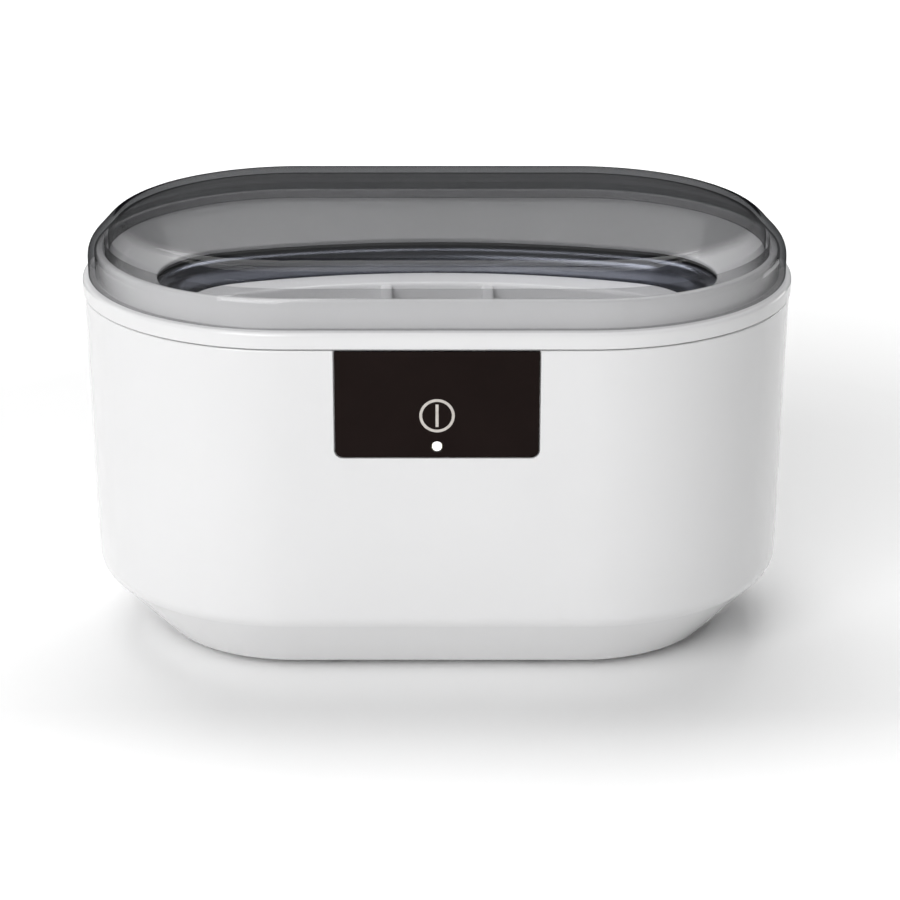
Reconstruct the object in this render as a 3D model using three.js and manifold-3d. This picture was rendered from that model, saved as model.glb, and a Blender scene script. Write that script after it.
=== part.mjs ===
// Household ultrasonic cleaner: a gloss white casing with an oval steel tank, a lift-out basket, a smoky
// lift-off lid and a touch window. Millimetres, +Z up, +X to the right of the front, the front faces -Y.
// The origin is under the middle of the machine, on the surface that it stands on.
import * as THREE from 'three';
import { mergeVertices } from 'three/addons/utils/BufferGeometryUtils.js';
import { ParametricGeometry } from 'three/addons/geometries/ParametricGeometry.js';
import Module from 'manifold-3d';

const wasm = await Module();
wasm.setup();

// ---- Driving dimensions ----

const GAP = 0.3; // clearance kept between pieces that touch

// Every horizontal section of the casing is an oval: two long sides joined by two end arcs.
const STRAIGHT = 42.5; // half the length of the casing's straight sides
const SIDE_STEPS = 2; // facets in half of a long side
const END_STEPS = 8; // facets in half of an end
const FILLET_STEPS = 2;
const MOUTH = { a: 83, b: 36.3, re: 27 }; // the opening above the tank: half length, half width, end radius

// Casing, from the bottom up. R is the half width of the oval at that height.
const FOOT_HEIGHT = 2.5;
const BASE_R = 42;
const CHAMFER_R = 60.8;
const CHAMFER_Z = 22.8;
const BODY_TOP_R = 61.9;
const BODY_TOP_Z = 106.1;
const BODY_WALL = 2.6;
const BASE_THICKNESS = 3;
const BASE_FLANGE_R = 33;
const BASE_FLANGE_TOP = 9;
const BASE_PLATE_R = 39.5;

// Top cover
const RING_R = 62.3;
const RING_BOTTOM_Z = 106.6;
const LEDGE_Z = 111.3;
const COLLAR_R = 58;
const COLLAR_INNER_R = 56;
const COLLAR_TOP_Z = 119.6;
const DECK_TOP_Z = 117.1;
const MOUTH_Z = 109.3;
const SEAT_Z = 108.3; // flat underside round the opening
const TONGUE_R = 59.1;
const TONGUE_INNER_R = 57.3;
const TONGUE_Z = 101;

// Lid
const LID_R = 60.6;
const LID_WALL = 2;
const LID_SHOULDER_Z = 119.9;
const LID_TOP_R = 52.2;
const LID_TOP_Z = 129;
const SKIRT_R = 55.6;
const SKIRT_INNER_R = 54.4;
const SKIRT_Z = 117.4;

// Tank and basket, measured from the edge of the opening
const TANK_SHEET = 1;
const TANK_TOP_Z = 107;
const TANK_FLOOR_Z = 53;
const TANK_FLANGE = 6;
const BASKET_WALL = 1.8;
const BASKET_TOP_Z = 100;
const BASKET_FLOOR_Z = 60;
const BASKET_SHORTER = 2.4; // the basket is this much shorter at each end than the opening's outline
const BASKET_RIM = -4.6;
const BASKET_SIDE = -15;
const BASKET_LEG = { x: 46, y: 11, r: 3 };
const DIVIDER_X = 15.4;
const DIVIDER_THICKNESS = 3.4;

// Touch window, on the front face. Depths run inwards from that face.
const WINDOW_WIDTH = 57.2;
const WINDOW_HEIGHT = 31.4;
const WINDOW_THICKNESS = 1;
const WINDOW_INSET = 0.1;
const WINDOW_CORNER = 2.2;
const WINDOW_TOP_Z = 105.8;
const LED_DROP = 28.2; // from the window's top edge down to the status dot
const KEY_DROP = 18.9; // and down to the touch key
const LED_R = 1.3;

// Electronics
const DRIVER = { width: 104, depth: 54, thickness: 1.6, z: 13 };
const POST = { x: 46, y: 21, r: 3.2 };
const BASE_SCREW = { x: 30, y: 35.6 };
const FOOT = { x: 64, y: 24.6, r: 6 };
const PIEZO = { r: 25, thickness: 2.6 };

// Two-pin mains inlet in the rear wall
const INLET = { z: 34, width: 20, height: 11.4, depth: 18, recess: 12.5, pinSpacing: 8.6, pinR: 1.2 };
const INLET_FLANGE = { width: 25, height: 15, inner: 61.35, outer: 62.2 };
const INLET_REAR = INLET_FLANGE.outer - INLET.depth; // the inner end of the inlet's body
const INLET_BOTTOM = INLET.z - INLET.height / 2;

// ---- Solids ----

// Turns any closed geometry into a solid: shared corners merged, empty triangles dropped.
function solidOf(geometry) {
  const bare = geometry.clone();
  bare.deleteAttribute('normal');
  bare.deleteAttribute('uv');
  const merged = mergeVertices(bare, 1e-4);
  const index = merged.index.array;
  const kept = [];
  for (let i = 0; i < index.length; i += 3) {
    const [p, q, r] = index.slice(i, i + 3);
    if (p !== q && q !== r && r !== p) kept.push(p, q, r);
  }
  const vertProperties = Float32Array.from(merged.attributes.position.array);
  const triVerts = Uint32Array.from(kept);
  return new wasm.Manifold(new wasm.Mesh({ numProp: 3, vertProperties, triVerts }));
}

function geometryOf(solid) {
  const mesh = solid.getMesh();
  const geometry = new THREE.BufferGeometry();
  geometry.setAttribute('position', new THREE.BufferAttribute(Float32Array.from(mesh.vertProperties), 3));
  geometry.setIndex(new THREE.BufferAttribute(Uint32Array.from(mesh.triVerts), 1));
  geometry.computeVertexNormals();
  return geometry;
}

// A box centred on x and y, standing on z.
function block(width, depth, height, x, y, z) {
  const geometry = new THREE.BoxGeometry(width, depth, height);
  geometry.translate(x, y, z + height / 2);
  return solidOf(geometry);
}

// An upright cylinder standing on z.
function post(radius, height, x, y, z, sides = 16) {
  const geometry = new THREE.CylinderGeometry(radius, radius, height, sides);
  geometry.rotateX(Math.PI / 2);
  geometry.translate(x, y, z + height / 2);
  return solidOf(geometry);
}

// A cylinder along Y, from the near y to the far y.
function bar(radius, yNear, yFar, x, z, sides = 16) {
  const geometry = new THREE.CylinderGeometry(radius, radius, yFar - yNear, sides);
  geometry.translate(x, (yNear + yFar) / 2, z);
  return solidOf(geometry);
}

// A turned piece: the profile's points are [radius, height].
function turned(profile, sides = 16) {
  const points = profile.map(([r, z]) => new THREE.Vector2(r, z));
  const geometry = new THREE.LatheGeometry(points, sides);
  geometry.rotateX(Math.PI / 2);
  return solidOf(geometry);
}

function unionOf(solids) {
  return solids.reduce((whole, piece) => whole.add(piece));
}

function cutBy(solid, tools) {
  return tools.reduce((rest, tool) => rest.subtract(tool), solid);
}

// ---- Oval shells ----

// A quarter of an oval made of two tangent arcs, from the middle of a long side to the tip.
function quarterOval({ a, b, re }) {
  const run = a - re;
  const straight = b - re < 0.001;
  const sideRadius = straight ? 0 : (run ** 2 + b ** 2 - re ** 2) / (2 * (b - re));
  const lean = straight ? 0 : Math.asin(run / (sideRadius - re));
  const points = [];
  for (let i = 0; i < SIDE_STEPS; i += 1) {
    const part = i / SIDE_STEPS;
    const sag = sideRadius * (1 - Math.cos(lean * part));
    points.push([straight ? run * part : sideRadius * Math.sin(lean * part), b - sag]);
  }
  for (let i = 0; i <= END_STEPS; i += 1) {
    const angle = lean + (Math.PI / 2 - lean) * (i / END_STEPS);
    points.push([run + re * Math.sin(angle), re * Math.cos(angle)]);
  }
  return points;
}

// The whole oval, anticlockwise from the middle of the front.
function ovalRing(level) {
  const quarter = quarterOval(level);
  const last = quarter.length - 1;
  const ring = [];
  for (let k = 0; k < 4 * last; k += 1) {
    const side = Math.floor(k / last);
    const step = k % last;
    const [x, y] = quarter[side % 2 === 0 ? step : last - step];
    ring.push([side < 2 ? x : -x, side === 0 || side === 3 ? -y : y]);
  }
  return ring;
}

// Levels: an oval of the casing's family, one parallel to the opening, and the line at an oval's heart.
function casing(radius, z, fillet = 0) {
  return { a: STRAIGHT + radius, b: radius, re: radius, z, fillet };
}

function opening(grow, z, fillet = 0) {
  return { a: MOUTH.a + grow, b: MOUTH.b + grow, re: MOUTH.re + grow, z, fillet };
}

// The basket's outline: parallel to the opening, but a little shorter.
function tray(grow, z, fillet = 0) {
  const re = MOUTH.re - 0.4 + grow;
  return { a: MOUTH.a - BASKET_SHORTER + grow, b: MOUTH.b + grow, re, z, fillet };
}

function spine(z) {
  return { a: STRAIGHT, b: 0, re: 0, z, fillet: 0 };
}

function blendLevels(from, to, part) {
  const mix = (key) => from[key] + (to[key] - from[key]) * part;
  return { a: mix('a'), b: mix('b'), re: mix('re'), z: mix('z') };
}

function levelDistance(p, q) {
  return Math.hypot(p.b - q.b, p.z - q.z);
}

// How far along an edge a corner's fillet starts. Two fillets never meet on one edge.
function filletShare(corner, neighbour) {
  return Math.min(0.48, corner.fillet / levelDistance(corner, neighbour));
}

// Replaces each corner that has a fillet with a short run of levels along a rounded corner.
function filleted(corners) {
  const levels = [];
  corners.forEach((corner, i) => {
    const before = corners[(i + corners.length - 1) % corners.length];
    const after = corners[(i + 1) % corners.length];
    if (!corner.fillet) {
      levels.push(corner);
      return;
    }
    const start = blendLevels(corner, before, filletShare(corner, before));
    const end = blendLevels(corner, after, filletShare(corner, after));
    for (let k = 0; k <= FILLET_STEPS; k += 1) {
      const part = k / FILLET_STEPS;
      levels.push(blendLevels(blendLevels(start, corner, part), blendLevels(corner, end, part), part));
    }
  });
  return levels;
}

// Sweeps a profile round the oval. The levels run so that the solid is on their left, seen with the
// heart of the oval to the left. A profile that starts and ends on the spine is whole without closing.
function ovalSolid(corners, closing = true) {
  const levels = filleted(corners);
  const rings = levels.map(ovalRing);
  const columns = rings[0].length;
  const stacks = closing ? rings.length : rings.length - 1;
  const surface = (u, v, target) => {
    const row = Math.round(v * stacks) % rings.length;
    const [x, y] = rings[row][Math.round(u * columns) % columns];
    target.set(x, y, levels[row].z);
  };
  return solidOf(new ParametricGeometry(surface, columns, stacks));
}

// ---- Casing ----

const DRAFT = (BODY_TOP_R - CHAMFER_R) / (BODY_TOP_Z - CHAMFER_Z);

function bodyShellSolid() {
  const rise = CHAMFER_Z - FOOT_HEIGHT;
  const run = (CHAMFER_R - BASE_R) / rise;
  const wallAcross = (BODY_WALL * Math.hypot(CHAMFER_R - BASE_R, rise)) / rise;
  const innerSlopeR = (z) => BASE_R + run * (z - FOOT_HEIGHT) - wallAcross;
  const innerLow = CHAMFER_R - BODY_WALL;
  const cornerZ = FOOT_HEIGHT + (innerLow - innerSlopeR(FOOT_HEIGHT)) / run;
  const flangeBottom = FOOT_HEIGHT + BASE_THICKNESS + GAP;
  const shell = ovalSolid([
    casing(BASE_PLATE_R + GAP, FOOT_HEIGHT),
    casing(BASE_R, FOOT_HEIGHT),
    casing(CHAMFER_R, CHAMFER_Z, 5),
    casing(BODY_TOP_R, BODY_TOP_Z, 0.5),
    casing(BODY_TOP_R - BODY_WALL, BODY_TOP_Z),
    casing(innerLow, cornerZ, 4),
    casing(innerSlopeR(BASE_FLANGE_TOP), BASE_FLANGE_TOP),
    casing(BASE_FLANGE_R, BASE_FLANGE_TOP),
    casing(BASE_FLANGE_R, flangeBottom),
    casing(BASE_PLATE_R + GAP, flangeBottom),
  ]);
  const holeWidth = INLET.width + 2 * GAP;
  const holeHeight = INLET.height + 2 * GAP;
  const inletHole = block(holeWidth, 20, holeHeight, 0, BODY_TOP_R, INLET.z - holeHeight / 2);
  const screwHoles = cornersOf(BASE_SCREW).map(([x, y]) => post(1.8, 3, x, y, flangeBottom - 0.5, 10));
  return cutBy(shell, [inletHole, windowRecess(), sensorOpening(), ...screwHoles]);
}

function cornersOf({ x, y }) {
  return [[x, y], [-x, y], [-x, -y], [x, -y]];
}

function topCoverSolid() {
  return ovalSolid([
    casing(RING_R, RING_BOTTOM_Z),
    casing(RING_R, LEDGE_Z, 1.2),
    casing(COLLAR_R, LEDGE_Z),
    casing(COLLAR_R, COLLAR_TOP_Z, 0.9),
    casing(COLLAR_INNER_R, COLLAR_TOP_Z, 0.6),
    casing(COLLAR_INNER_R, DECK_TOP_Z),
    opening(0, MOUTH_Z, 1),
    opening(0.2, SEAT_Z),
    opening(3.5, SEAT_Z),
    casing(COLLAR_INNER_R - 1, DECK_TOP_Z - 3.3),
    casing(COLLAR_INNER_R, DECK_TOP_Z - 6.5),
    casing(TONGUE_INNER_R, LEDGE_Z - 2.2),
    casing(TONGUE_INNER_R, TONGUE_Z),
    casing(TONGUE_R, TONGUE_Z),
    casing(TONGUE_R, RING_BOTTOM_Z),
  ]);
}

function basePlateSolid() {
  const top = FOOT_HEIGHT + BASE_THICKNESS;
  const plate = ovalSolid([
    spine(FOOT_HEIGHT),
    casing(BASE_PLATE_R, FOOT_HEIGHT),
    casing(BASE_PLATE_R, top),
    spine(top),
  ], false);
  const posts = cornersOf(POST).map(([x, y]) => post(POST.r, DRIVER.z - GAP - top + 1, x, y, top - 1, 12));
  const bores = cornersOf(POST).map(([x, y]) => post(1.3, 5.5, x, y, DRIVER.z - 5.4, 8));
  const heads = cornersOf(BASE_SCREW).map(([x, y]) => post(3.4, 2.4, x, y, FOOT_HEIGHT - 0.3, 12));
  const shanks = cornersOf(BASE_SCREW).map(([x, y]) => post(1.8, BASE_THICKNESS, x, y, top - 1.5, 10));
  const plugs = cornersOf(FOOT).map(([x, y]) => post(2.2, 2, x, y, FOOT_HEIGHT - 0.2, 10));
  return cutBy(unionOf([plate, ...posts]), [...bores, ...heads, ...shanks, ...plugs]);
}

// ---- Tank, gasket and transducer ----

function tankSolid() {
  return ovalSolid([
    spine(TANK_FLOOR_Z - TANK_SHEET),
    opening(-5.2, TANK_FLOOR_Z - TANK_SHEET, 9),
    opening(-2.6, TANK_TOP_Z - TANK_SHEET, 3.6),
    opening(TANK_FLANGE, TANK_TOP_Z - TANK_SHEET),
    opening(TANK_FLANGE, TANK_TOP_Z),
    opening(-3.6, TANK_TOP_Z, 4.4),
    opening(-6.2, TANK_FLOOR_Z, 8.4),
    spine(TANK_FLOOR_Z),
  ], false);
}

function gasketSolid() {
  const bottom = TANK_TOP_Z + GAP;
  const top = SEAT_Z - GAP;
  return ovalSolid([opening(0.5, bottom), opening(3.2, bottom), opening(3.2, top), opening(0.5, top)]);
}

function piezoSolid() {
  const z = TANK_FLOOR_Z - TANK_SHEET - GAP - PIEZO.thickness;
  return post(PIEZO.r, PIEZO.thickness, 0, 0, z, 28);
}

// ---- Basket and lid ----

function basketSolid() {
  const floorTop = BASKET_FLOOR_Z + BASKET_WALL;
  const rimBottom = BASKET_TOP_Z - BASKET_WALL;
  const shell = ovalSolid([
    spine(BASKET_FLOOR_Z),
    tray(BASKET_SIDE - 0.8, BASKET_FLOOR_Z, 3),
    tray(BASKET_SIDE + BASKET_WALL, rimBottom),
    tray(BASKET_RIM, rimBottom),
    tray(BASKET_RIM, BASKET_TOP_Z),
    tray(BASKET_SIDE, BASKET_TOP_Z, 1.2),
    tray(BASKET_SIDE - 0.8 - BASKET_WALL, floorTop, 2),
    spine(floorTop),
  ], false);
  const dividers = [-DIVIDER_X, DIVIDER_X].map(dividerSolid);
  const legBottom = TANK_FLOOR_Z + GAP;
  const legHeight = BASKET_FLOOR_Z + 1 - legBottom;
  const legs = cornersOf(BASKET_LEG).map(([x, y]) => post(BASKET_LEG.r, legHeight, x, y, legBottom, 12));
  return cutBy(unionOf([shell, ...dividers, ...legs]), basketSlots());
}

// A divider across the basket. Its ends stay inside the basket's sloping walls.
function dividerSolid(x) {
  const half = MOUTH.b + BASKET_SIDE;
  const foot = BASKET_FLOOR_Z + 1;
  const top = BASKET_TOP_Z - 0.6;
  const corners = [[2.1 - half, foot], [half - 2.1, foot], [half + 0.3, top], [-half - 0.3, top]];
  const shape = new THREE.Shape(corners.map((p) => new THREE.Vector2(...p)));
  const geometry = new THREE.ExtrudeGeometry(shape, { depth: DIVIDER_THICKNESS, bevelEnabled: false });
  geometry.rotateX(Math.PI / 2);
  geometry.rotateZ(Math.PI / 2);
  geometry.translate(x - DIVIDER_THICKNESS / 2, 0, 0);
  return solidOf(geometry);
}

// Drain slots through the floor in three rows. The outer rows are shorter, to miss the legs.
function basketSlots() {
  const row = [[-30, 16], [0, 16], [30, 16]];
  const rows = [[-11, row], [0, [[-52, 14], ...row, [52, 14]]], [11, row]];
  return rows.flatMap(([y, slots]) => (
    slots.map(([x, length]) => block(length, 4.4, BASKET_WALL + 2, x, y, BASKET_FLOOR_Z - 1))
  ));
}

function lidSolid() {
  const rise = LID_TOP_Z - LID_SHOULDER_Z;
  const run = LID_R - LID_TOP_R;
  const wallR = LID_R - LID_WALL;
  // Height of the inner bevel, two millimetres inside the outer one.
  const innerBevelZ = (r) => LID_SHOULDER_Z + ((LID_R - r) * rise - LID_WALL * Math.hypot(rise, run)) / run;
  const innerTopZ = LID_TOP_Z - LID_WALL;
  const innerTopR = LID_R - (run * (innerTopZ - LID_SHOULDER_Z) + LID_WALL * Math.hypot(rise, run)) / rise;
  return ovalSolid([
    casing(LID_R, LEDGE_Z + GAP),
    casing(LID_R, LID_SHOULDER_Z, 1.6),
    casing(LID_TOP_R, LID_TOP_Z, 2.6),
    spine(LID_TOP_Z),
    spine(innerTopZ),
    casing(innerTopR, innerTopZ, 1),
    casing(SKIRT_INNER_R, innerBevelZ(SKIRT_INNER_R)),
    casing(SKIRT_INNER_R, SKIRT_Z),
    casing(SKIRT_R, SKIRT_Z),
    casing(SKIRT_R, innerBevelZ(SKIRT_R)),
    casing(wallR, innerBevelZ(wallR)),
    casing(wallR, LEDGE_Z + GAP),
  ]);
}

// ---- Touch window and its sensor, drawn on the front face ----

// Front-face pieces are drawn flat, x to the right, y up from the window's top edge and z outwards,
// then stood up on the drafted front face.
function onFront(geometry) {
  const front = BODY_TOP_R - DRAFT * (BODY_TOP_Z - WINDOW_TOP_Z);
  const placed = geometry.clone();
  placed.rotateX(Math.PI / 2 + Math.atan(DRAFT));
  placed.translate(0, -front, WINDOW_TOP_Z);
  return solidOf(placed);
}

// A plate hanging down from the window's top edge, with its two lower corners rounded.
function plateShape(width, top, bottom, corner) {
  const half = width / 2;
  const shape = new THREE.Shape();
  shape.moveTo(-half, top);
  shape.lineTo(-half, bottom + corner);
  shape.absarc(-half + corner, bottom + corner, corner, Math.PI, 1.5 * Math.PI, false);
  shape.absarc(half - corner, bottom + corner, corner, 1.5 * Math.PI, 2 * Math.PI, false);
  shape.lineTo(half, top);
  return shape;
}

// Extrudes a shape inwards, between two depths behind the front face.
function sunk(shape, shallow, deep) {
  const options = { depth: deep - shallow, bevelEnabled: false, curveSegments: 5 };
  const geometry = new THREE.ExtrudeGeometry(shape, options);
  geometry.translate(0, 0, -deep);
  return onFront(geometry);
}

function discShape(radius, x, y) {
  return new THREE.Shape().absarc(x, y, radius, 0, 2 * Math.PI, false);
}

function windowRecess() {
  const shape = plateShape(WINDOW_WIDTH + 2 * GAP, 3, -WINDOW_HEIGHT - GAP, WINDOW_CORNER + GAP);
  return sunk(shape, -3, WINDOW_INSET + WINDOW_THICKNESS + GAP);
}

function sensorOpening() {
  return sunk(plateShape(44, -5, -WINDOW_HEIGHT + 1.6, 1), 0.5, BODY_WALL + 2);
}

function windowSolid() {
  const outline = plateShape(WINDOW_WIDTH, 0, -WINDOW_HEIGHT, WINDOW_CORNER);
  const plate = sunk(outline, WINDOW_INSET, WINDOW_INSET + WINDOW_THICKNESS);
  return plate.subtract(sunk(discShape(LED_R + GAP, 0, -LED_DROP), -1, 2));
}

const SENSOR_DEPTH = BODY_WALL + GAP + 0.1; // front of the touch board, behind the wall

function touchBoardSolid() {
  return sunk(plateShape(50, -6.5, -WINDOW_HEIGHT - 2, 1.5), SENSOR_DEPTH, SENSOR_DEPTH + 1.2);
}

function touchSpringSolid() {
  const rim = discShape(4.5, 0, -KEY_DROP);
  rim.holes.push(new THREE.Path().absarc(0, -KEY_DROP, 3.6, 0, 2 * Math.PI, true));
  return sunk(rim, WINDOW_INSET + WINDOW_THICKNESS + GAP, SENSOR_DEPTH - GAP);
}

function statusLedSolid() {
  const outline = plateShape(3, -LED_DROP + 1.5, -LED_DROP - 1.5, 0.3);
  return sunk(outline, SENSOR_DEPTH - GAP - 0.8, SENSOR_DEPTH - GAP);
}

// ---- Mains inlet ----

function inletBodySolid() {
  const flangeDepth = INLET_FLANGE.outer - INLET_FLANGE.inner;
  const flangeY = INLET_FLANGE.outer - flangeDepth / 2;
  const flangeBottom = INLET.z - INLET_FLANGE.height / 2;
  const flange = block(INLET_FLANGE.width, flangeDepth, INLET_FLANGE.height, 0, flangeY, flangeBottom);
  const barrelY = INLET_REAR + INLET.depth / 2;
  const barrel = block(INLET.width, INLET.depth, INLET.height, 0, barrelY, INLET_BOTTOM);
  const recessFloor = INLET_FLANGE.outer - INLET.recess;
  const pins = [-INLET.pinSpacing / 2, INLET.pinSpacing / 2];
  const lobes = pins.map((x) => bar(4.1, recessFloor, INLET_FLANGE.outer + 1, x, INLET.z));
  const webY = recessFloor + (INLET.recess + 1) / 2;
  const web = block(INLET.pinSpacing, INLET.recess + 1, 6.4, 0, webY, INLET.z - 3.2);
  const bores = pins.map((x) => bar(INLET.pinR + GAP, INLET_REAR - 1, recessFloor + 1, x, INLET.z, 12));
  return cutBy(flange.add(barrel), [...lobes, web, ...bores]);
}

function inletPinSolid(x) {
  return bar(INLET.pinR, INLET_REAR - 3, INLET_FLANGE.outer - 3, x, INLET.z, 12);
}

// ---- Driver board ----

function driverBoardSolid() {
  const plate = block(DRIVER.width, DRIVER.depth, DRIVER.thickness, 0, 0, DRIVER.z);
  const holes = cornersOf(POST).map(([x, y]) => post(1.8, DRIVER.thickness + 2, x, y, DRIVER.z - 1, 12));
  return cutBy(plate, holes);
}

const BOARD_TOP = DRIVER.z + DRIVER.thickness + GAP; // where the board's components stand

function transformerSolid() {
  return unionOf([
    block(22, 7, 4, 0, 0, 0),
    block(22, 7, 4, 0, 0, 15),
    block(4, 7, 19, -9, 0, 0),
    block(4, 7, 19, 9, 0, 0),
    block(13, 16, 12, 0, 0, 3.5),
    block(20, 15, 2.5, 0, 0, 1),
  ]);
}

function capacitorSolid() {
  return turned([[0, 0], [7.6, 0], [8, 0.6], [8, 3], [7.5, 3.6], [8, 4.2], [8, 23.4], [7.4, 24], [0, 24]]);
}

function inductorSolid() {
  const geometry = new THREE.TorusGeometry(7, 3.2, 6, 14);
  geometry.translate(0, 0, 3.2);
  return solidOf(geometry);
}

function heatsinkSolid() {
  const fins = [-8, -4, 0, 4, 8].map((x) => block(1.2, 9, 20, x, 3.5, 0));
  return unionOf([block(18, 2, 20, 0, 0, 0), ...fins]);
}

function fuseSolid() {
  const cap = [[0, -10], [2.6, -10], [2.6, -5], [2.2, -5], [2.2, 5], [2.6, 5], [2.6, 10], [0, 10]];
  return turned(cap, 12);
}

function connectorSolid() {
  return cutBy(block(8, 6, 7, 0, 0, 0), [block(6.4, 4.4, 4, 0, 0, 4)]);
}

// A wire along the given points, drawn with six sides.
function wireSolid(radius, steps, points) {
  const section = new THREE.Shape();
  for (let k = 0; k < 6; k += 1) {
    const angle = (k * Math.PI) / 3;
    const corner = [radius * Math.cos(angle), radius * Math.sin(angle)];
    if (k === 0) section.moveTo(...corner);
    else section.lineTo(...corner);
  }
  const path = new THREE.CatmullRomCurve3(points.map((p) => new THREE.Vector3(...p)));
  return solidOf(new THREE.ExtrudeGeometry(section, { steps, extrudePath: path, bevelEnabled: false }));
}

// ---- Fixings ----

// A pan-head screw pointing up, its head's crossed slot underneath.
function screwSolid(headR, headHeight, shankR, length) {
  const head = [[0, 0], [headR - 0.5, 0], [headR, 0.5], [headR, headHeight]];
  const shank = [[shankR, headHeight], [shankR, length], [0, length]];
  const slots = [[3, 0.8], [0.8, 3]].map(([w, d]) => block(w, d, 1.6, 0, 0, -0.8));
  return cutBy(turned([...head, ...shank], 12), slots);
}

function footSolid() {
  return turned([[0, 0], [FOOT.r - 0.8, 0], [FOOT.r, 0.8], [FOOT.r, 2.2], [1.9, 2.2], [1.9, 4], [0, 4]]);
}

// ---- Assembly ----

function finish(color, roughness, metalness = 0, opacity = 1) {
  return new THREE.MeshStandardMaterial({ color, roughness, metalness, opacity, transparent: opacity < 1 });
}

const whiteGloss = () => finish(0xf1f1f1, 0.2);
const blackGloss = () => finish(0x221816, 0.1);
const steel = () => finish(0xb4b8c0, 0.2, 1);
const rubber = () => finish(0xc9c9c9, 0.8);
const blackPlastic = () => finish(0x1c1c1e, 0.5);
const board = () => finish(0x1f5b3a, 0.6);
const copper = () => finish(0xb87333, 0.4, 1);

const cleaner = new THREE.Group();

function place(parent, name, solid, material, x = 0, y = 0, z = 0) {
  const mesh = new THREE.Mesh(geometryOf(solid), material);
  mesh.name = name;
  mesh.position.set(x, y, z);
  parent.add(mesh);
  return mesh;
}

function addCasing(group) {
  place(group, 'body_shell', bodyShellSolid(), whiteGloss());
  place(group, 'top_cover', topCoverSolid(), whiteGloss());
  place(group, 'base_plate', basePlateSolid(), finish(0xe4e4e4, 0.5));
  cornersOf(FOOT).forEach(([x, y], i) => place(group, `foot_${i + 1}`, footSolid(), rubber(), x, y, 0));
  cornersOf(BASE_SCREW).forEach(([x, y], i) => {
    place(group, `base_screw_${i + 1}`, screwSolid(3, 1.6, 1.5, 5.1), steel(), x, y, FOOT_HEIGHT + 0.1);
  });
}

function addTank(group) {
  place(group, 'tank', tankSolid(), steel());
  place(group, 'tank_gasket', gasketSolid(), finish(0x2a2a2c, 0.8));
  place(group, 'transducer_disc', piezoSolid(), finish(0xcfc7b4, 0.4));
}

function addWindow(group) {
  place(group, 'panel_window', windowSolid(), blackGloss());
  place(group, 'led_lens', sunk(discShape(LED_R, 0, -LED_DROP), WINDOW_INSET, 1.6), finish(0xffffff, 0.3));
  place(group, 'touch_board', touchBoardSolid(), board());
  place(group, 'touch_spring', touchSpringSolid(), copper());
  place(group, 'status_led', statusLedSolid(), finish(0xf4efd8, 0.4));
}

function addInlet(group) {
  place(group, 'inlet_body', inletBodySolid(), blackPlastic());
  [-1, 1].forEach((side, i) => {
    place(group, `inlet_pin_${i + 1}`, inletPinSolid((side * INLET.pinSpacing) / 2), steel());
  });
}

function addDriver(group) {
  place(group, 'driver_board', driverBoardSolid(), board());
  const parts = [
    ['transformer', transformerSolid(), finish(0x3a3a3a, 0.7), 14, -2],
    ['bulk_capacitor', capacitorSolid(), finish(0x22304a, 0.4), -12, 12],
    ['inductor', inductorSolid(), copper(), -34, 6],
    ['heatsink', heatsinkSolid(), finish(0xa9adb2, 0.4, 1), -24, -16],
    ['mains_connector', connectorSolid(), finish(0xe9e6da, 0.5), 12, 21],
    ['transducer_connector', connectorSolid(), finish(0xe9e6da, 0.5), 34, 8],
    ['panel_connector', connectorSolid(), finish(0xe9e6da, 0.5), 2, -21],
  ];
  parts.forEach(([name, solid, material, x, y]) => place(group, name, solid, material, x, y, BOARD_TOP));
  place(group, 'power_transistor', block(10, 4.4, 15, 0, 0, 0), blackPlastic(), -24, -19.6, BOARD_TOP + 3);
  const fuse = place(group, 'fuse', fuseSolid(), finish(0xd8d8d8, 0.2), 30, 20, BOARD_TOP + 3);
  fuse.rotation.y = Math.PI / 2;
  cornersOf(POST).forEach(([x, y], i) => {
    const screw = place(group, `board_screw_${i + 1}`, screwSolid(2.8, 1.8, 1, 7), steel());
    screw.position.set(x, y, BOARD_TOP + 1.8);
    screw.rotation.x = Math.PI;
  });
}

function addWires(group) {
  const red = () => finish(0xa02020, 0.5);
  const blue = () => finish(0x24407a, 0.5);
  const tailY = INLET_REAR - 3 - GAP;
  const plug = BOARD_TOP + 4.4;
  const discZ = TANK_FLOOR_Z - TANK_SHEET - 2 * GAP - PIEZO.thickness - 1;
  [[-1, blue()], [1, red()]].forEach(([side, material], i) => {
    const pinX = (side * INLET.pinSpacing) / 2;
    const mainsX = 12 + side * 1.6;
    const mains = [[pinX, tailY, INLET.z], [pinX, tailY - 5, INLET.z], [mainsX, 24, INLET.z - 2],
      [mainsX, 21, plug + 5], [mainsX, 21, plug]];
    place(group, `mains_lead_${i + 1}`, wireSolid(1, 10, mains), material);
    const driveX = 34 + side * 1.6;
    const drive = [[driveX, 8, plug], [driveX, 8, plug + 8], [30, 6 + side * 3, discZ - 6],
      [14, side * 3, discZ - 1], [10, side * 3, discZ]];
    place(group, `transducer_lead_${i + 1}`, wireSolid(0.8, 10, drive), material.clone());
  });
  const ribbon = [[2, -21, plug], [2, -21, plug + 10], [2, -50, 50], [2, -53.5, 70], [2, -56, 79]];
  place(group, 'panel_ribbon', wireSolid(1.2, 10, ribbon), finish(0x909090, 0.6));
}

const builders = [addCasing, addTank, addWindow, addInlet, addDriver, addWires];
builders.forEach((build) => {
  const group = new THREE.Group();
  build(group);
  cleaner.add(group);
});
place(cleaner, 'basket', basketSolid(), finish(0xd4d4d4, 0.5));
place(cleaner, 'lid', lidSolid(), finish(0x55585e, 0.08, 0, 0.45));

export default cleaner;
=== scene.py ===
"""Looks of a household ultrasonic cleaner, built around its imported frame.

Metres, +Z up, and the front faces -Y. Profiles are drawn in millimetres and scaled when their mesh is made.
"""
import math

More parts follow.
